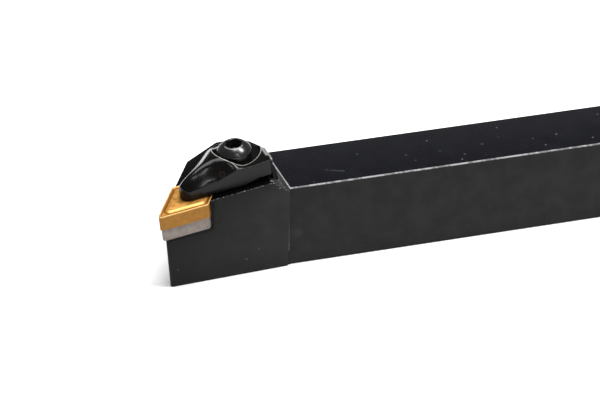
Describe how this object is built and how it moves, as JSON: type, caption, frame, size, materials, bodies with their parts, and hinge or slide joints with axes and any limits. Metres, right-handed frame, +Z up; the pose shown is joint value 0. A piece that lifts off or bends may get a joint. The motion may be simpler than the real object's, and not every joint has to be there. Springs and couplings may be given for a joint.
{
  "type": "turning tool holder",
  "caption": "Square-shank external turning tool holder: a top clamp holds a rhombic indexable insert on a shim in an angled pocket.",
  "frame": {"origin": "middle of the shank's width, on its flat base, where the ground shank meets the cutting head", "axes": "+X along the shank, away from the cutting tip; +Z up from the base; -Y the side that the cutting edge stands out from"},
  "size_m": [0.15, 0.0319, 0.04],
  "materials": {
    "black_steel": "ground, then black oxide",
    "black_clamp": "tumbled black oxide, worn bright on the edges",
    "black_screw": "polished black oxide",
    "carbide": "ground cemented carbide",
    "gold_coating": "fine-grained gold-coloured hard coating",
    "spring_steel": "drawn wire"
  },
  "bodies": {
    "holder": {"holder_body": "black_steel", "shim": "carbide", "shim_screw": "black_screw", "insert": "gold_coating", "clamp_spring": "spring_steel"},
    "clamp": {"clamp": "black_clamp"},
    "clamp_screw": {"clamp_screw": "black_screw"}
  },
  "joints": [
    {"name": "clamp_lift", "type": "slide", "parent": "holder", "child": "clamp", "axis": [-0.1113, -0.1236, 0.9861], "range_m": [0, 0.004], "deforming": ["clamp_spring"]},
    {"name": "screw_turn", "type": "hinge", "parent": "clamp", "child": "clamp_screw", "pos_m": [-0.01442, -0.00673, 0.02967], "axis": [-0.1113, -0.1236, 0.9861], "range_deg": [0, 1440]}
  ],
  "couplings": [
    {"joint": "screw_turn", "follows": "clamp_lift", "rad_per_m": 6283.2}
  ]
}
